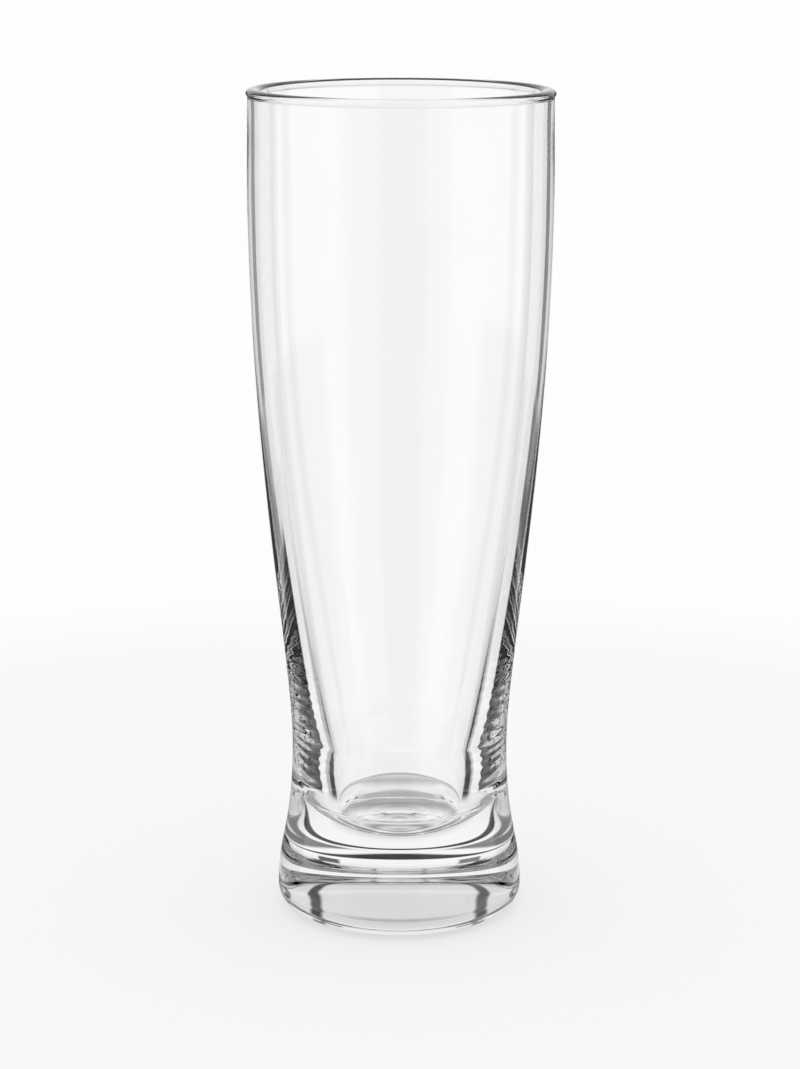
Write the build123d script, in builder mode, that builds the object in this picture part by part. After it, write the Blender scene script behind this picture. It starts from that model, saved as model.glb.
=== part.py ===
from build123d import *
import math
import os

os.makedirs("parts", exist_ok=True)

# A tall pilsner glass: a thick-walled bowl with a rounded lip, standing on a heavy pressed base.
# The frame has its origin at the middle of the underside, with +Z up the axis of the glass.

# Overall heights, in millimetres
glass_height = 212.0
shoulder_height = 188.0
waist_height = 43.5
cavity_floor_height = 20.3
weld_height = 12.0

# Outside radii
lip_radius = 38.45
waist_radius = 27.95
foot_radius = 31.8

# Lip, wall and cavity
mouth_wall = 3.25
bead_proud_outside = 0.35
bead_proud_inside = 0.15
bead_fall = 2.6
shoulder_swell = 0.2
cavity_floor_curve = 23.5
cavity_floor_corner = 2.0
cavity_well_radius = 17.0
cavity_well_height = 39.0
cavity_well_taper = 5.3
cavity_heel_radius = 19.0
cavity_heel_height = 46.0
cavity_taper = 10.8

# Foot and underside
foot_edge_radius = 5.4
foot_land = 2.6
bearing_ring_width = 2.4
punt_depth = 1.6

# Lengths of the tangent handles that shape the free curves
foot_handle = 8.6
waist_lower_handle = 21.0
waist_upper_handle = 22.8
shoulder_handle = 67.7
heel_handle = 75.0
mouth_handle = 65.8

# The lip is a round bead, which stands a little proud of the wall on both sides and runs down into it
neck_radius = lip_radius - bead_proud_outside
shoulder_radius = neck_radius + shoulder_swell
mouth_radius = neck_radius - mouth_wall
bead_radius = (bead_proud_outside + mouth_wall + bead_proud_inside) / 2
bead_outer = (lip_radius, glass_height - bead_radius)
bead_crest = (lip_radius - bead_radius, glass_height)
bead_inner = (lip_radius - 2 * bead_radius, glass_height - bead_radius)
neck_height = glass_height - bead_radius - bead_fall
neck_pull = (neck_height - shoulder_height) / 2

# The foot: a flat bearing ring round a shallow punt, a rounded edge and a short upright land
bearing_outer_radius = foot_radius - foot_edge_radius
bearing_inner_radius = bearing_outer_radius - bearing_ring_width
foot_land_top = foot_edge_radius + foot_land
foot_edge_centre = (bearing_outer_radius, foot_edge_radius)

# The cavity has a dished floor and a nearly upright well, and above its heel it opens to the mouth
floor_curve_height = cavity_floor_height + cavity_floor_curve
floor_edge_height = floor_curve_height - math.sqrt(cavity_floor_curve**2 - cavity_well_radius**2)
floor_middle = (0, cavity_floor_height)
floor_rim = (cavity_well_radius, floor_edge_height)
well_slope = math.tan(math.radians(cavity_well_taper))
well_top_radius = cavity_well_radius + (cavity_well_height - floor_edge_height) * well_slope
taper_slope = math.tan(math.radians(cavity_taper))
heel = (cavity_heel_radius, cavity_heel_height)
heel_pull = (cavity_heel_radius + heel_handle * taper_slope, cavity_heel_height + heel_handle)
heel_blend = (cavity_heel_height - cavity_well_height) / 3

# Section through one side of the glass, from the punt round the outside and back down the cavity
with BuildSketch(Plane.XZ) as glass_section:
    with BuildLine():
        TangentArc((0, punt_depth), (bearing_inner_radius, 0), tangent=(1, 0))
        Line((bearing_inner_radius, 0), (bearing_outer_radius, 0))
        CenterArc(foot_edge_centre, foot_edge_radius, -90, 90)
        Line((foot_radius, foot_edge_radius), (foot_radius, foot_land_top))
        Bezier(
            (foot_radius, foot_land_top),
            (foot_radius, foot_land_top + foot_handle),
            (waist_radius, waist_height - waist_lower_handle),
            (waist_radius, waist_height),
        )
        Bezier(
            (waist_radius, waist_height),
            (waist_radius, waist_height + waist_upper_handle),
            (shoulder_radius, shoulder_height - shoulder_handle),
            (shoulder_radius, shoulder_height),
        )
        Bezier(
            (shoulder_radius, shoulder_height),
            (shoulder_radius, shoulder_height + neck_pull),
            (neck_radius, neck_height - neck_pull),
            (neck_radius, neck_height),
        )
        Bezier(
            (neck_radius, neck_height),
            (neck_radius, neck_height + bead_fall / 2),
            (lip_radius, bead_outer[1] - bead_fall / 2),
            bead_outer,
        )
        ThreePointArc(bead_outer, bead_crest, bead_inner)
        Bezier(
            bead_inner,
            (bead_inner[0], bead_inner[1] - bead_fall / 2),
            (mouth_radius, neck_height + bead_fall / 2),
            (mouth_radius, neck_height),
        )
        Bezier(
            (mouth_radius, neck_height),
            (mouth_radius, neck_height - mouth_handle),
            heel_pull,
            heel,
        )
        Bezier(
            heel,
            (cavity_heel_radius - heel_blend * taper_slope, cavity_heel_height - heel_blend),
            (well_top_radius + heel_blend * well_slope, cavity_well_height + heel_blend),
            (well_top_radius, cavity_well_height),
        )
        Line((well_top_radius, cavity_well_height), floor_rim)
        TangentArc(floor_middle, floor_rim, tangent=(1, 0))
        Line(floor_middle, (0, punt_depth))
    make_face()

# The weld between bowl and base is a flat disc square to the axis
weld_plane = Plane.XY.offset(weld_height)

# Blown bowl: rounded lip, wall that thickens downwards and the thick bottom of the cavity
with BuildPart() as bowl:
    revolve(glass_section.sketch, axis=Axis.Z)
    split(bisect_by=weld_plane, keep=Keep.TOP)
    circles = bowl.edges().filter_by(GeomType.CIRCLE)
    floor_edge = circles.filter_by_position(Axis.Z, floor_edge_height, floor_edge_height)
    fillet(floor_edge, cavity_floor_corner)
bowl.part.label = "bowl"
export_step(bowl.part, "parts/bowl.step")

# Pressed base: solid flared block with a rounded foot and a shallow punt
with BuildPart() as base:
    revolve(glass_section.sketch, axis=Axis.Z)
    split(bisect_by=weld_plane, keep=Keep.BOTTOM)
base.part.label = "base"
export_step(base.part, "parts/base.step")
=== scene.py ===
"""A tall pilsner glass in clear soda-lime glass, standing in a plain white studio.

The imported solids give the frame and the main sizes. The glass is drawn as one closed skin, because the weld
between bowl and base is fused and light passes it without meeting a surface.
"""

import logging
import math
from dataclasses import dataclass, field
from enum import Enum
from typing import Any

import bpy
from mathutils import Matrix, Vector, noise


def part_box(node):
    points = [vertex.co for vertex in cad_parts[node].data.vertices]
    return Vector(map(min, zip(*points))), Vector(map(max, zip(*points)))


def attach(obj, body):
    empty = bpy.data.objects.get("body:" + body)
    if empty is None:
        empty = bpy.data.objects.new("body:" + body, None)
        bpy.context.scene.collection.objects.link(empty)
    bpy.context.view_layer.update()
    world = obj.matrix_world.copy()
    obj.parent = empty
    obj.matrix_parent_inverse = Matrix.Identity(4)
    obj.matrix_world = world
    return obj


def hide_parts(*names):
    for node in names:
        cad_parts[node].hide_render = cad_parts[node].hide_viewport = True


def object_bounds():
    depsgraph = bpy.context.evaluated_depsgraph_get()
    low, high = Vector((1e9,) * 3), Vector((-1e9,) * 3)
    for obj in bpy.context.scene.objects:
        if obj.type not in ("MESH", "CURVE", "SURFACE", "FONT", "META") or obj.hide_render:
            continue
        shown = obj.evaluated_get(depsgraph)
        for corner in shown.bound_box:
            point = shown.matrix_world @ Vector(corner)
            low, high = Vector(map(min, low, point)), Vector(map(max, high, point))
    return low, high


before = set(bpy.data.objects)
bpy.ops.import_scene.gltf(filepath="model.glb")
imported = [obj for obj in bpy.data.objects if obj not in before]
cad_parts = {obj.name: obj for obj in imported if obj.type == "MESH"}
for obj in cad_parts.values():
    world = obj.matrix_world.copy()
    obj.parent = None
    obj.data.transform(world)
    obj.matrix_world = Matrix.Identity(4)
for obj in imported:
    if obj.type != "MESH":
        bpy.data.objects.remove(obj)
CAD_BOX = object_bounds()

logging.basicConfig(level=logging.INFO, format="%(message)s")
log = logging.getLogger("pilsner_glass")

MM = 0.001
WHITE = "#FFFFFF"
Point = tuple[float, float]

# Numbers of glass faces that light crosses before it reaches the studio
ANY_PASSES = -1
MIRROR_PASSES = 0
FLANK_PASSES = 2


class Ray(Enum):
    """Kinds of ray that the studio answers differently, by their Light Path output."""

    CAMERA = "Is Camera Ray"
    DIFFUSE = "Is Diffuse Ray"
    GLOSSY = "Is Glossy Ray"
    TRANSMISSION = "Is Transmission Ray"
    PASSES = "Transmission Depth"


def to_linear(hex_colour: str) -> tuple[float, float, float, float]:
    """Turns an sRGB hex colour into linear light.

    Args:
        hex_colour: the colour as "#RRGGBB".

    Returns:
        Red, green, blue and an alpha of 1.
    """
    parts = [int(hex_colour[i : i + 2], 16) / 255 for i in (1, 3, 5)]
    red, green, blue = (c / 12.92 if c <= 0.04045 else ((c + 0.055) / 1.055) ** 2.4 for c in parts)
    return red, green, blue, 1.0


def add_node(
    tree: bpy.types.NodeTree,
    kind: str,
    settings: dict[str, Any] | None = None,
    inputs: dict[str | int, Any] | None = None,
) -> bpy.types.Node:
    """Adds a node to a tree, with its settings, its socket values and its links.

    Args:
        tree: the node tree.
        kind: the node's type name.
        settings: the node's own properties.
        inputs: a value, or the socket to link from, for each input.

    Returns:
        The new node.
    """
    node = tree.nodes.new(kind)
    for name, value in (settings or {}).items():
        setattr(node, name, value)
    for socket, value in (inputs or {}).items():
        if isinstance(value, bpy.types.NodeSocket):
            tree.links.new(value, node.inputs[socket])
        else:
            node.inputs[socket].default_value = value
    return node


def set_ramp(node: bpy.types.Node, stops: list[tuple[float, float]]) -> None:
    """Gives a colour ramp its grey stops.

    Args:
        node: the colour ramp.
        stops: the place from 0 to 1 and the light of each stop, in order.
    """
    elements = node.color_ramp.elements
    elements.remove(elements[1])
    elements[0].position = stops[0][0]
    for place, _ in stops[1:]:
        elements.new(place)
    for element, (_, light) in zip(elements, stops):
        element.color = (light, light, light, 1.0)


def soft_band(
    tree: bpy.types.NodeTree, value: bpy.types.NodeSocket, half_width: float, edge: float
) -> bpy.types.NodeSocket:
    """Adds nodes that tell whether a value lies within a band round zero.

    Args:
        tree: the node tree.
        value: the socket that holds the value.
        half_width: half the width of the band.
        edge: the width of its soft edge.

    Returns:
        A socket with 1 inside the band and 0 outside it.
    """
    size = add_node(tree, "ShaderNodeMath", {"operation": "ABSOLUTE"}, {0: value})
    band = add_node(
        tree,
        "ShaderNodeMapRange",
        {"interpolation_type": "SMOOTHSTEP"},
        {
            "Value": size.outputs[0],
            "From Min": half_width - edge / 2,
            "From Max": half_width + edge / 2,
            "To Min": 1.0,
            "To Max": 0.0,
        },
    )
    return band.outputs["Result"]


def bezier(points: tuple[Point, Point, Point, Point], count: int) -> list[Point]:
    """Samples a cubic curve.

    Args:
        points: the start, its handle, the end's handle and the end.
        count: the number of steps.

    Returns:
        The points after the start, up to and including the end.
    """
    curve = []
    for i in range(1, count + 1):
        t = i / count
        weights = ((1 - t) ** 3, 3 * t * (1 - t) ** 2, 3 * t**2 * (1 - t), t**3)
        curve.append(tuple(sum(w * p[k] for w, p in zip(weights, points)) for k in (0, 1)))
    return curve


def arc(centre: Point, radius: float, start: float, end: float, count: int) -> list[Point]:
    """Samples a circular arc.

    Args:
        centre: the arc's centre.
        radius: its radius.
        start: the angle where it starts, in degrees.
        end: the angle where it ends, in degrees.
        count: the number of steps.

    Returns:
        The points after the start, up to and including the end.
    """
    angles = (math.radians(start + (end - start) * i / count) for i in range(1, count + 1))
    return [(centre[0] + radius * math.cos(a), centre[1] + radius * math.sin(a)) for a in angles]


def line(start: Point, end: Point, count: int) -> list[Point]:
    """Points after the start of a straight run, up to and including its end."""
    steps = ((i + 1) / count for i in range(count))
    return [(start[0] + (end[0] - start[0]) * t, start[1] + (end[1] - start[1]) * t) for t in steps]


@dataclass(frozen=True)
class ClearGlass:
    """Soda-lime glass, blown and fire polished.

    The eye gets clear, nearly colourless glass with a cool green cast where it is thick, a polish broken only
    by faint handling haze, and soft waves left by the mould.
    """

    name: str = "soda_lime_glass_fire_polished"
    tint_clear: str = "#FFFFFF"
    tint_cool: str = "#FDFDFE"
    body_colour: str = "#D3E3DD"
    body_density: float = 1.2
    ior: float = 1.52
    roughness: tuple[float, float] = (0.0, 0.004)
    haze_size: float = 18 * MM
    haze_range: tuple[float, float] = (0.45, 0.8)
    wave_size: float = 14 * MM
    wave_depth: float = 0.012 * MM

    def make(self) -> bpy.types.Material:
        """Builds the material."""
        material = bpy.data.materials.new(self.name)
        material.use_nodes = True
        tree = material.node_tree
        tree.nodes.clear()
        place = add_node(tree, "ShaderNodeTexCoord").outputs["Object"]
        haze = add_node(
            tree,
            "ShaderNodeTexNoise",
            {},
            {"Vector": place, "Scale": 1 / self.haze_size, "Detail": 3.0, "Roughness": 0.6},
        )
        tint = add_node(
            tree,
            "ShaderNodeMix",
            {"data_type": "RGBA"},
            {0: haze.outputs["Fac"], 6: to_linear(self.tint_clear), 7: to_linear(self.tint_cool)},
        )
        polish = add_node(
            tree,
            "ShaderNodeMapRange",
            {},
            {
                "Value": haze.outputs["Fac"],
                "From Min": self.haze_range[0],
                "From Max": self.haze_range[1],
                "To Min": self.roughness[0],
                "To Max": self.roughness[1],
            },
        )
        wave = add_node(
            tree,
            "ShaderNodeTexNoise",
            {},
            {"Vector": place, "Scale": 1 / self.wave_size, "Detail": 1.0},
        )
        bump = add_node(
            tree,
            "ShaderNodeBump",
            {},
            {"Strength": 1.0, "Distance": self.wave_depth, "Height": wave.outputs["Fac"]},
        )
        shader = add_node(
            tree,
            "ShaderNodeBsdfPrincipled",
            {},
            {
                "Base Color": tint.outputs[2],
                "Roughness": polish.outputs["Result"],
                "IOR": self.ior,
                "Transmission Weight": 1.0,
                "Normal": bump.outputs["Normal"],
            },
        )
        body = add_node(
            tree,
            "ShaderNodeVolumeAbsorption",
            {},
            {"Color": to_linear(self.body_colour), "Density": self.body_density},
        )
        add_node(
            tree,
            "ShaderNodeOutputMaterial",
            {},
            {"Surface": shader.outputs["BSDF"], "Volume": body.outputs["Volume"]},
        )
        return material


@dataclass(frozen=True)
class MattFloor:
    """Matt white table top, painted.

    The eye gets an even, pale surface with a soft shadow, which runs out into the white behind it. Light that
    comes through or off the glass meets painted light and shade instead: glowing rings of painted light and
    painted shade round the axis and a painted shadow arc at the back, which no lamp casts. They give the
    heavy base its lines.
    """

    name: str = "matt_white_table_painted_shade"
    colour: str = "#FDFDFD"
    grain_colour: str = "#F9F9F9"
    grain_size: float = 3 * MM
    white: float = 0.985
    page_share: float = 0.6
    # Painted shade: the floor's light by distance from the axis, as the glass sees it; no lamp casts these
    # rings
    painted_shade_rings: tuple[tuple[float, float], ...] = (
        (0.0 * MM, 0.35),
        (5.0 * MM, 0.75),
        (9.0 * MM, 0.30),
        (14.0 * MM, 0.85),
        (18.0 * MM, 0.50),
        (21.0 * MM, 0.95),
        (27.0 * MM, 0.90),
        (30.0 * MM, 0.60),
        (33.0 * MM, 0.30),
        (35.0 * MM, 0.50),
        (37.0 * MM, 0.20),
        (41.0 * MM, 0.20),
        (42.0 * MM, 1.0),
    )
    painted_shade_reach: float = 60 * MM
    # Painted shadow: a dark arc on the floor behind the foot, seen only through or off the glass; no lamp
    # casts it
    arc_radius: float = 44.7 * MM
    arc_half_width: float = 1.0 * MM
    arc_edge: float = 0.6 * MM
    arc_back: tuple[float, float] = (33 * MM, 40 * MM)
    painted_shadow_light: float = 0.02
    fade_start: float = 120 * MM
    fade_end: float = 330 * MM
    near_start: float = 50 * MM
    near_end: float = 58 * MM

    def make(self) -> bpy.types.Material:
        """Builds the material."""
        material = bpy.data.materials.new(self.name)
        material.use_nodes = True
        tree = material.node_tree
        tree.nodes.clear()
        place = add_node(tree, "ShaderNodeTexCoord").outputs["Object"]
        grain = add_node(
            tree, "ShaderNodeTexNoise", {}, {"Vector": place, "Scale": 1 / self.grain_size, "Detail": 2.0}
        )
        colour = add_node(
            tree,
            "ShaderNodeMix",
            {"data_type": "RGBA"},
            {0: grain.outputs["Fac"], 6: to_linear(self.colour), 7: to_linear(self.grain_colour)},
        )
        painted = add_node(tree, "ShaderNodeBsdfDiffuse", {}, {"Color": colour.outputs[2]})
        reach = add_node(tree, "ShaderNodeVectorMath", {"operation": "LENGTH"}, {0: place})
        share = add_node(
            tree,
            "ShaderNodeMath",
            {"operation": "DIVIDE"},
            {0: reach.outputs["Value"], 1: self.painted_shade_reach},
        )
        # Painted shade rings round the foot, seen only through or off the glass
        painted_shade_ramp = add_node(tree, "ShaderNodeValToRGB", {}, {0: share.outputs[0]})
        set_ramp(painted_shade_ramp, [(radius / self.painted_shade_reach, light) for radius, light in self.painted_shade_rings])
        # Painted shadow arc behind the foot
        from_arc = add_node(
            tree,
            "ShaderNodeMath",
            {"operation": "SUBTRACT"},
            {0: reach.outputs["Value"], 1: self.arc_radius},
        )
        on_painted_shadow = soft_band(tree, from_arc.outputs[0], self.arc_half_width, self.arc_edge)
        axes = add_node(tree, "ShaderNodeSeparateXYZ", {}, {0: place})
        behind = add_node(
            tree,
            "ShaderNodeMapRange",
            {},
            {"Value": axes.outputs["Y"], "From Min": self.arc_back[0], "From Max": self.arc_back[1]},
        )
        # How deep the painted shadow arc lies at this spot
        dark = add_node(
            tree, "ShaderNodeMath", {"operation": "MULTIPLY"}, {0: on_painted_shadow, 1: behind.outputs["Result"]}
        )
        level = add_node(
            tree,
            "ShaderNodeMapRange",
            {},
            {"Value": dark.outputs[0], "To Min": self.white, "To Max": self.painted_shadow_light},
        )
        # The floor as the glass sees it: a glowing white with the painted shade rings and the painted shadow
        # arc
        rings = add_node(
            tree,
            "ShaderNodeEmission",
            {},
            {"Color": painted_shade_ramp.outputs["Color"], "Strength": level.outputs["Result"]},
        )
        path = add_node(tree, "ShaderNodeLightPath")
        from_glass = add_node(
            tree,
            "ShaderNodeMath",
            {"operation": "MAXIMUM"},
            {0: path.outputs[Ray.GLOSSY.value], 1: path.outputs[Ray.TRANSMISSION.value]},
        )
        page = add_node(
            tree, "ShaderNodeEmission", {}, {"Color": to_linear(WHITE), "Strength": self.white}
        )
        lifted = add_node(
            tree,
            "ShaderNodeMath",
            {"operation": "MULTIPLY"},
            {0: path.outputs[Ray.CAMERA.value], 1: self.page_share},
        )
        table = add_node(
            tree,
            "ShaderNodeMixShader",
            {},
            {0: lifted.outputs[0], 1: painted.outputs["BSDF"], 2: page.outputs["Emission"]},
        )
        surface = add_node(
            tree,
            "ShaderNodeMixShader",
            {},
            {0: from_glass.outputs[0], 1: table.outputs["Shader"], 2: rings.outputs["Emission"]},
        )
        clear = add_node(tree, "ShaderNodeBsdfTransparent")
        fade = add_node(
            tree,
            "ShaderNodeMapRange",
            {"interpolation_type": "SMOOTHSTEP"},
            {"Value": reach.outputs["Value"], "From Min": self.fade_start, "From Max": self.fade_end},
        )
        near_fade = add_node(
            tree,
            "ShaderNodeMapRange",
            {"interpolation_type": "SMOOTHSTEP"},
            {"Value": reach.outputs["Value"], "From Min": self.near_start, "From Max": self.near_end},
        )
        gone = add_node(
            tree,
            "ShaderNodeMix",
            {"data_type": "FLOAT"},
            {0: from_glass.outputs[0], 2: fade.outputs["Result"], 3: near_fade.outputs["Result"]},
        )
        mixed = add_node(
            tree,
            "ShaderNodeMixShader",
            {},
            {0: gone.outputs[0], 1: surface.outputs["Shader"], 2: clear.outputs["BSDF"]},
        )
        add_node(tree, "ShaderNodeOutputMaterial", {}, {"Surface": mixed.outputs["Shader"]})
        return material


@dataclass
class PilsnerGlass:
    """The glass: a blown bowl with a rounded lip, fused to a heavy pressed base. Sizes are in metres."""

    height: float
    lip_radius: float
    foot_radius: float
    shoulder_height: float = 188.0 * MM
    waist_height: float = 43.5 * MM
    waist_radius: float = 27.95 * MM
    mouth_wall: float = 3.25 * MM
    bead_proud_outside: float = 0.35 * MM
    bead_proud_inside: float = 0.15 * MM
    bead_rise: float = 1.1 * MM
    bead_fall: float = 1.2 * MM
    shoulder_swell: float = 0.2 * MM
    cavity_floor_height: float = 20.3 * MM
    cavity_floor_curve: float = 23.5 * MM
    cavity_floor_corner: float = 2.0 * MM
    cavity_well_radius: float = 17.0 * MM
    cavity_well_height: float = 39.0 * MM
    cavity_well_taper: float = math.radians(5.3)
    cavity_heel_radius: float = 19.0 * MM
    cavity_heel_height: float = 46.0 * MM
    cavity_taper: float = math.radians(10.8)
    foot_edge_radius: float = 5.4 * MM
    foot_land: float = 2.6 * MM
    bearing_ring_width: float = 2.4 * MM
    punt_depth: float = 1.6 * MM
    foot_handle: float = 8.6 * MM
    waist_lower_handle: float = 21.0 * MM
    waist_upper_handle: float = 22.8 * MM
    shoulder_handle: float = 67.7 * MM
    heel_handle: float = 75.0 * MM
    mouth_handle: float = 65.8 * MM
    ripple_depth: float = 0.03 * MM
    ripple_spacing: float = 2.8 * MM
    ripple_length: float = 12.0 * MM
    ripple_low: float = 28.0 * MM
    ripple_high: float = 68.0 * MM
    ripple_fade: float = 8.0 * MM
    ripple_turn: float = math.radians(12.0)
    ripple_narrowness: int = 8
    ripple_wander: float = 4.0
    ring_depth: float = 0.02 * MM
    ring_spacing: float = 2.6 * MM
    ridge_proud: float = 0.06 * MM
    ridge_run: float = 0.8 * MM
    segments: int = 264
    straight_steps: int = 4
    lip_steps: int = 10
    corner_steps: int = 16
    foot_steps: int = 24
    well_steps: int = 24
    heel_steps: int = 30
    flare_steps: int = 36
    dish_steps: int = 60
    side_steps: int = 80
    cavity_steps: int = 360
    finish: ClearGlass = field(default_factory=ClearGlass)

    def outside(self) -> list[Point]:
        """Outline from the middle of the underside, round the foot and up to the lip's crest.

        Returns:
            Points of radius and height, starting on the axis.
        """
        ring_outer = self.foot_radius - self.foot_edge_radius
        ring_inner = ring_outer - self.bearing_ring_width
        land_top = self.foot_edge_radius + self.foot_land
        neck = self.lip_radius - self.bead_proud_outside
        shoulder = neck + self.shoulder_swell
        neck_height = self.height - self.bead_rise - self.bead_fall
        neck_pull = (neck_height - self.shoulder_height) / 2
        punt_radius = (ring_inner**2 + self.punt_depth**2) / (2 * self.punt_depth)
        punt_angle = math.degrees(math.asin(ring_inner / punt_radius))
        punt_centre = (0.0, self.punt_depth - punt_radius)
        points: list[Point] = [(0.0, self.punt_depth)]
        points += arc(punt_centre, punt_radius, 90, 90 - punt_angle, self.foot_steps)
        points += line((ring_inner, 0.0), (ring_outer, 0.0), self.straight_steps)
        edge_centre = (ring_outer, self.foot_edge_radius)
        points += arc(edge_centre, self.foot_edge_radius, -90, 0, self.foot_steps)
        land = self.foot_radius - self.ridge_proud
        ridge_top = self.foot_edge_radius + self.ridge_run
        ridge = (self.foot_radius, self.foot_edge_radius)
        points += line(ridge, (land, ridge_top), self.straight_steps)
        points += line((land, ridge_top), (land, land_top), self.straight_steps)
        points += bezier(
            (
                (land, land_top),
                (land, land_top + self.foot_handle),
                (self.waist_radius, self.waist_height - self.waist_lower_handle),
                (self.waist_radius, self.waist_height),
            ),
            self.flare_steps,
        )
        points += bezier(
            (
                (self.waist_radius, self.waist_height),
                (self.waist_radius, self.waist_height + self.waist_upper_handle),
                (shoulder, self.shoulder_height - self.shoulder_handle),
                (shoulder, self.shoulder_height),
            ),
            self.side_steps,
        )
        points += bezier(
            (
                (shoulder, self.shoulder_height),
                (shoulder, self.shoulder_height + neck_pull),
                (neck, neck_height - neck_pull),
                (neck, neck_height),
            ),
            self.lip_steps,
        )
        points += bezier(
            (
                (neck, neck_height),
                (neck, neck_height + self.bead_fall / 2),
                (self.lip_radius, self.height - self.bead_rise - self.bead_fall / 2),
                (self.lip_radius, self.height - self.bead_rise),
            ),
            self.lip_steps,
        )
        points += self.crest(0, 90)
        return points

    def inside(self) -> list[Point]:
        """Outline from the lip's crest down the cavity to the middle of its floor.

        Returns:
            Points of radius and height after the crest, ending on the axis.
        """
        mouth = self.lip_radius - self.bead_proud_outside - self.mouth_wall
        bead_inner = self.lip_radius - 2 * self.bead_radius
        neck_height = self.height - self.bead_rise - self.bead_fall
        slope, well_slope = math.tan(self.cavity_taper), math.tan(self.cavity_well_taper)
        well = self.cavity_well_radius + (self.cavity_well_height - self.floor_edge_height) * well_slope
        heel = (self.cavity_heel_radius, self.cavity_heel_height)
        blend = (self.cavity_heel_height - self.cavity_well_height) / 3
        dish_centre = (0.0, self.cavity_floor_height + self.cavity_floor_curve)
        corner = self.cavity_floor_corner
        corner_centre = self.floor_corner_centre()
        corner_end = (
            corner_centre[0] + corner * math.cos(self.cavity_well_taper),
            corner_centre[1] - corner * math.sin(self.cavity_well_taper),
        )
        dish_angle = math.degrees(math.atan2(corner_centre[1] - dish_centre[1], corner_centre[0]))
        points = self.crest(90, 180)
        points += bezier(
            (
                (bead_inner, self.height - self.bead_rise),
                (bead_inner, self.height - self.bead_rise - self.bead_fall / 2),
                (mouth, neck_height + self.bead_fall / 2),
                (mouth, neck_height),
            ),
            self.lip_steps,
        )
        points += bezier(
            (
                (mouth, neck_height),
                (mouth, neck_height - self.mouth_handle),
                (heel[0] + self.heel_handle * slope, heel[1] + self.heel_handle),
                heel,
            ),
            self.cavity_steps,
        )
        points += bezier(
            (
                heel,
                (heel[0] - blend * slope, heel[1] - blend),
                (well + blend * well_slope, self.cavity_well_height + blend),
                (well, self.cavity_well_height),
            ),
            self.heel_steps,
        )
        points += line((well, self.cavity_well_height), corner_end, self.well_steps)
        well_angle = -math.degrees(self.cavity_well_taper)
        points += arc(corner_centre, corner, well_angle, dish_angle, self.corner_steps)
        points += arc(dish_centre, self.cavity_floor_curve, dish_angle, -90, self.dish_steps)
        return points

    def floor_corner_centre(self) -> Point:
        """Finds the middle of the small round that joins the dished floor to the well.

        Returns:
            Radius and height of the point that lies one corner radius off both of them.
        """
        slope, corner = math.tan(self.cavity_well_taper), self.cavity_floor_corner
        start = self.cavity_well_radius - corner / math.cos(self.cavity_well_taper)
        drop = self.cavity_floor_height + self.cavity_floor_curve - self.floor_edge_height
        square = 1 + slope**2
        half = start * slope - drop
        rest = start**2 + drop**2 - (self.cavity_floor_curve - corner) ** 2
        up = (-half - math.sqrt(half**2 - square * rest)) / square
        return start + slope * up, self.floor_edge_height + up

    @property
    def floor_edge_height(self) -> float:
        """Height at which the dished floor would meet the well if it had no rounded corner."""
        curve = self.cavity_floor_curve
        return self.cavity_floor_height + curve - math.sqrt(curve**2 - self.cavity_well_radius**2)

    @property
    def bead_radius(self) -> float:
        """Half the thickness of the lip's bead."""
        return (self.bead_proud_outside + self.mouth_wall + self.bead_proud_inside) / 2

    def crest(self, start: float, end: float) -> list[Point]:
        """Samples the lip's crest, which is rounder at its edges than in the middle.

        Args:
            start: the angle where the run starts, in degrees from the outside.
            end: the angle where it ends, in degrees.

        Returns:
            Points of radius and height after the start, up to and including the end.
        """
        flatness = self.bead_rise / self.bead_radius
        run = arc((self.lip_radius - self.bead_radius, 0.0), self.bead_radius, start, end, self.lip_steps)
        return [(radius, self.height - self.bead_rise + rise * flatness) for radius, rise in run]

    def ripple(self, radius: float, height: float, angle: float) -> float:
        """How far the settling glass stands proud of the cavity's outline.

        Args:
            radius: distance from the axis.
            height: height above the table.
            angle: turn about the axis, in radians.

        Returns:
            The rise into the cavity, square to its skin.
        """
        rise = max(0.0, (height - self.ripple_low) / self.ripple_fade)
        fall = max(0.0, (self.ripple_high - height) / self.ripple_fade)
        spot = Vector((radius * math.cos(angle), radius * math.sin(angle), height)) / self.ripple_length
        flank = math.atan2(math.sin(angle), abs(math.cos(angle)))
        side = max(0.0, math.cos(flank - self.ripple_turn)) ** self.ripple_narrowness
        phase = 2 * math.pi * height / self.ripple_spacing + self.ripple_wander * noise.noise(spot)
        wall = self.ripple_depth * side * min(rise, fall, 1.0) * math.sin(phase)
        floor_depth = self.floor_edge_height - self.cavity_floor_height
        on_floor = max(0.0, (self.floor_edge_height - height) / floor_depth)
        ring = self.ring_depth * on_floor * math.cos(2 * math.pi * radius / self.ring_spacing)
        return wall + ring

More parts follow.
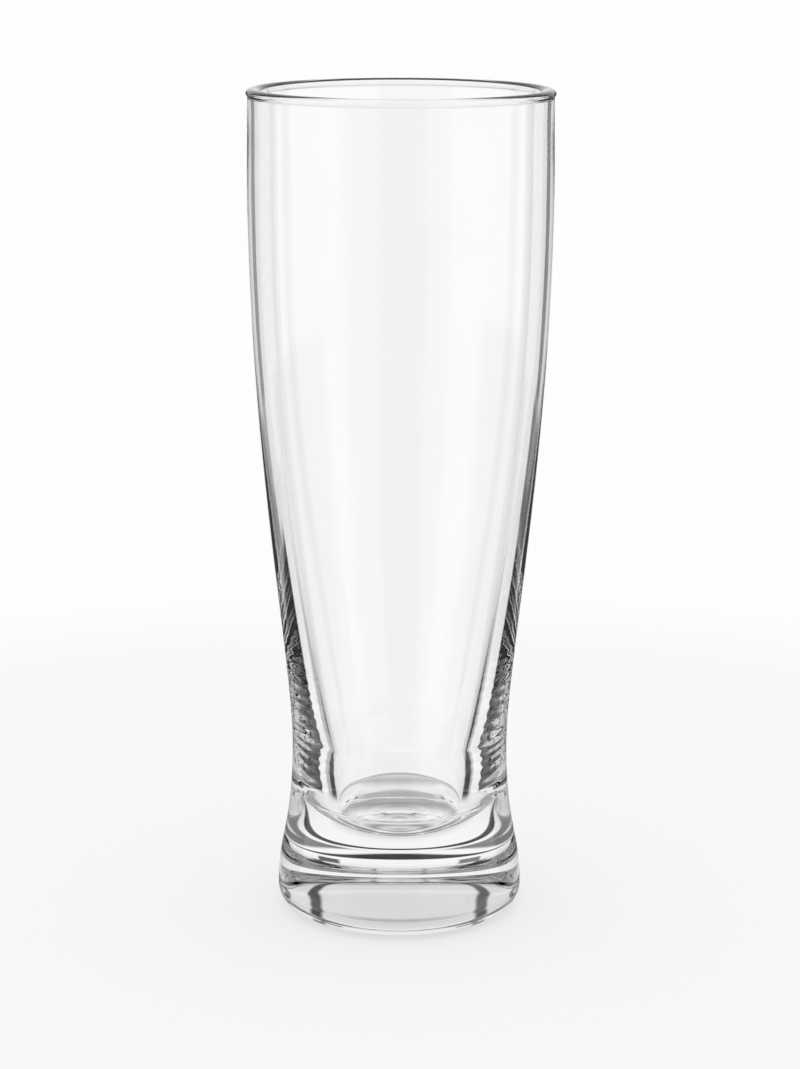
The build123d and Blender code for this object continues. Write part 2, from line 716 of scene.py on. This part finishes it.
    def build(self) -> bpy.types.Object:
        """Turns the outline round the axis into one closed skin.

        Returns:
            The glass, with its finish, riding on the frame.
        """
        outside, inside = self.outside(), self.inside()
        outline = outside + inside
        first, rings, last = outline[0], outline[1:-1], outline[-1]
        turn = [2 * math.pi * i / self.segments for i in range(self.segments)]
        vertices = [(0.0, 0.0, first[1])]
        for place, (radius, height) in enumerate(rings, start=1):
            if place < len(outside) or height > self.ripple_high:
                vertices += [(radius * math.cos(a), radius * math.sin(a), height) for a in turn]
                continue
            before, after = outline[place - 1], outline[place + 1]
            run, rise = after[0] - before[0], after[1] - before[1]
            length = math.hypot(run, rise)
            for a in turn:
                proud = self.ripple(radius, height, a)
                out = radius + proud * rise / length
                vertices.append((out * math.cos(a), out * math.sin(a), height - proud * run / length))
        vertices.append((0.0, 0.0, last[1]))
        top, count = len(vertices) - 1, self.segments
        faces: list[tuple[int, ...]] = []
        for i in range(count):
            j = (i + 1) % count
            faces.append((0, 1 + j, 1 + i))
            for k in range(len(rings) - 1):
                low, high = 1 + k * count, 1 + (k + 1) * count
                faces.append((low + i, low + j, high + j, high + i))
            end = 1 + (len(rings) - 1) * count
            faces.append((end + i, end + j, top))
        mesh = bpy.data.meshes.new("pilsner_glass")
        mesh.from_pydata(vertices, [], faces)
        mesh.shade_smooth()
        mesh.materials.append(self.finish.make())
        glass = bpy.data.objects.new("pilsner_glass", mesh)
        bpy.context.scene.collection.objects.link(glass)
        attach(glass, "root")
        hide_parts("bowl", "base")
        log.info("glass: %d faces, %.1f mm high", len(faces), self.height / MM)
        return glass


@dataclass(frozen=True)
class Gap:
    """A dark stretch of the white studio, in degrees from straight behind and from level.

    A gap with a number of passes is seen only by light that crosses that many faces of the glass: none where
    the outside mirrors the studio, and two along the flanks, where light goes in and out of the wall once.
    No real panel sorts light in this way: it keeps the body clear beside dark flanks.
    """

    middle: float
    half_width: float
    edge: float
    light: float
    low: float = -90.0
    high: float = 90.0
    passes: int = ANY_PASSES


@dataclass
class Studio:
    """Floor, light and camera. Lengths are in metres and angles in degrees."""

    camera_distance: float = 687.31 * MM
    camera_height: float = 261.42 * MM
    camera_pitch: float = 13.322
    camera_roll: float = 0.13
    lens: float = 92.77
    sensor: float = 36.0
    clip: tuple[float, float] = (10 * MM, 100.0)
    floor_radius: float = 400 * MM
    floor_sides: int = 96
    white: float = 0.985
    fill_light: float = 1.0
    lift_edge: float = 2.0
    backdrop_fall: tuple[tuple[float, float], ...] = (
        (-4.0, 1.0),
        (12.0, 0.90),
        (17.0, 0.76),
        (27.0, 0.70),
        (31.0, 0.50),
        (38.0, 0.45),
        (46.0, 0.30),
        (58.0, 0.30),
        (66.0, 1.0),
    )
    gaps: tuple[Gap, ...] = (
        Gap(14.0, 17.0, 3.0, 0.03, -90.0, -21.5, FLANK_PASSES),
        Gap(-14.0, 22.0, 3.0, 0.03, -90.0, -22.0, FLANK_PASSES),
        Gap(22.0, 11.0, 3.0, 0.22, -21.5, -14.0, FLANK_PASSES),
        Gap(-19.0, 9.0, 3.0, 0.45, -22.0, -14.0, FLANK_PASSES),
        Gap(25.0, 5.0, 2.0, 0.10, -14.0, 8.0, FLANK_PASSES),
        Gap(-25.0, 5.0, 2.0, 0.20, -14.0, 8.0, FLANK_PASSES),
        Gap(60.0, 9.0, 6.0, 0.50, -90.0, -14.0, FLANK_PASSES),
        Gap(-60.0, 9.0, 6.0, 0.50, -90.0, -14.0, FLANK_PASSES),
        Gap(42.0, 30.0, 6.0, 0.10, -30.0, 6.0, MIRROR_PASSES),
        Gap(-42.0, 30.0, 6.0, 0.10, -30.0, 6.0, MIRROR_PASSES),
        Gap(32.0, 3.5, 3.0, 0.04, 8.0, 60.0),
        Gap(-31.5, 3.5, 3.0, 0.12, 8.0, 60.0),
        Gap(62.0, 6.0, 4.0, 0.03),
        Gap(-64.0, 5.0, 4.0, 0.05),
        Gap(92.0, 22.0, 6.0, 0.50, -90.0, -12.5),
        Gap(-94.0, 24.0, 6.0, 0.50, -90.0, -13.5),
        Gap(-168.0, 32.0, 14.0, 0.50),
    )
    finish: MattFloor = field(default_factory=MattFloor)

    def build(self) -> None:
        """Builds the floor, the surrounding light and the camera."""
        self.lay_floor()
        self.light()
        self.place_camera()

    def lay_floor(self) -> None:
        """Lays a round floor that fades into the white behind it."""
        turn = [2 * math.pi * i / self.floor_sides for i in range(self.floor_sides)]
        ring = [(self.floor_radius * math.cos(a), self.floor_radius * math.sin(a), 0.0) for a in turn]
        mesh = bpy.data.meshes.new("floor")
        mesh.from_pydata(ring, [], [tuple(range(self.floor_sides))])
        mesh.materials.append(self.finish.make())
        floor = bpy.data.objects.new("floor", mesh)
        bpy.context.scene.collection.objects.link(floor)
        log.info("floor: %.0f mm across", 2 * self.floor_radius / MM)

    def light(self) -> None:
        """Surrounds the glass with white panels and dark gaps, which only the glass sees."""
        world = bpy.data.worlds.new("studio")
        bpy.context.scene.world = world
        world.use_nodes = True
        tree = world.node_tree
        tree.nodes.clear()
        where = add_node(tree, "ShaderNodeTexCoord").outputs["Generated"]
        axes = add_node(tree, "ShaderNodeSeparateXYZ", {}, {0: where})
        azimuth = add_node(
            tree, "ShaderNodeMath", {"operation": "ARCTAN2"}, {0: axes.outputs["X"], 1: axes.outputs["Y"]}
        )
        lift = add_node(tree, "ShaderNodeMath", {"operation": "ARCSINE"}, {0: axes.outputs["Z"]})
        height = add_node(
            tree,
            "ShaderNodeMapRange",
            {},
            {"Value": lift.outputs[0], "From Min": -math.pi / 2, "From Max": math.pi / 2},
        )
        fall = add_node(tree, "ShaderNodeValToRGB", {}, {0: height.outputs["Result"]})
        set_ramp(fall, [(angle / 180 + 0.5, light) for angle, light in self.backdrop_fall])
        seen = add_node(
            tree, "ShaderNodeMath", {"operation": "MULTIPLY"}, {0: fall.outputs["Color"], 1: self.white}
        )
        path = add_node(tree, "ShaderNodeLightPath")
        for gap in self.gaps:
            turned = add_node(
                tree,
                "ShaderNodeMath",
                {"operation": "SUBTRACT"},
                {0: azimuth.outputs[0], 1: math.radians(gap.middle)},
            )
            wrapped = add_node(
                tree, "ShaderNodeMath", {"operation": "WRAP"}, {0: turned.outputs[0], 1: math.pi, 2: -math.pi}
            )
            across = soft_band(tree, wrapped.outputs[0], math.radians(gap.half_width), math.radians(gap.edge))
            raised = add_node(
                tree,
                "ShaderNodeMath",
                {"operation": "SUBTRACT"},
                {0: lift.outputs[0], 1: math.radians((gap.low + gap.high) / 2)},
            )
            half_height = math.radians((gap.high - gap.low) / 2)
            up = soft_band(tree, raised.outputs[0], half_height, math.radians(self.lift_edge))
            inside = add_node(tree, "ShaderNodeMath", {"operation": "MULTIPLY"}, {0: across, 1: up})
            if gap.passes != ANY_PASSES:
                match = add_node(
                    tree,
                    "ShaderNodeMath",
                    {"operation": "COMPARE"},
                    {0: path.outputs[Ray.PASSES.value], 1: float(gap.passes), 2: 0.5},
                )
                inside = add_node(
                    tree,
                    "ShaderNodeMath",
                    {"operation": "MULTIPLY"},
                    {0: inside.outputs[0], 1: match.outputs[0]},
                )
            panel = add_node(
                tree,
                "ShaderNodeMapRange",
                {},
                {"Value": inside.outputs[0], "To Min": 1.0, "To Max": gap.light},
            )
            seen = add_node(
                tree, "ShaderNodeMath", {"operation": "MULTIPLY"}, {0: seen.outputs[0], 1: panel.outputs[0]}
            )
        filled = add_node(
            tree,
            "ShaderNodeMix",
            {"data_type": "FLOAT"},
            {0: path.outputs[Ray.DIFFUSE.value], 2: seen.outputs[0], 3: self.fill_light},
        )
        strength = add_node(
            tree,
            "ShaderNodeMix",
            {"data_type": "FLOAT"},
            {0: path.outputs[Ray.CAMERA.value], 2: filled.outputs[0], 3: self.white},
        )
        glow = add_node(
            tree, "ShaderNodeBackground", {}, {"Color": to_linear(WHITE), "Strength": strength.outputs[0]}
        )
        add_node(tree, "ShaderNodeOutputWorld", {}, {"Surface": glow.outputs["Background"]})
        log.info("studio light: white all round, with %d dark gaps", len(self.gaps))

    def place_camera(self) -> None:
        """Stands the camera where the photograph was taken from."""
        data = bpy.data.cameras.new("camera")
        data.lens = self.lens
        data.sensor_width = self.sensor
        data.clip_start, data.clip_end = self.clip
        camera = bpy.data.objects.new("camera", data)
        tilt = Matrix.Rotation(math.radians(90 - self.camera_pitch), 4, "X")
        roll = Matrix.Rotation(math.radians(self.camera_roll), 4, "Z")
        place = Matrix.Translation(Vector((0.0, -self.camera_distance, self.camera_height)))
        camera.matrix_world = place @ tilt @ roll
        bpy.context.scene.collection.objects.link(camera)
        bpy.context.scene.camera = camera
        log.info("camera: %.0f mm lens", self.lens)


def main() -> None:
    """Builds the glass and its studio."""
    scene = bpy.context.scene
    scene.view_settings.view_transform = "Standard"
    scene.cycles.max_bounces = 24
    scene.cycles.transmission_bounces = 24
    scene.cycles.glossy_bounces = 16
    _, foot_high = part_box("base")
    glass = PilsnerGlass(height=CAD_BOX[1].z, lip_radius=CAD_BOX[1].x, foot_radius=foot_high.x)
    glass.build()
    Studio().build()


if __name__ == "__main__":
    main()
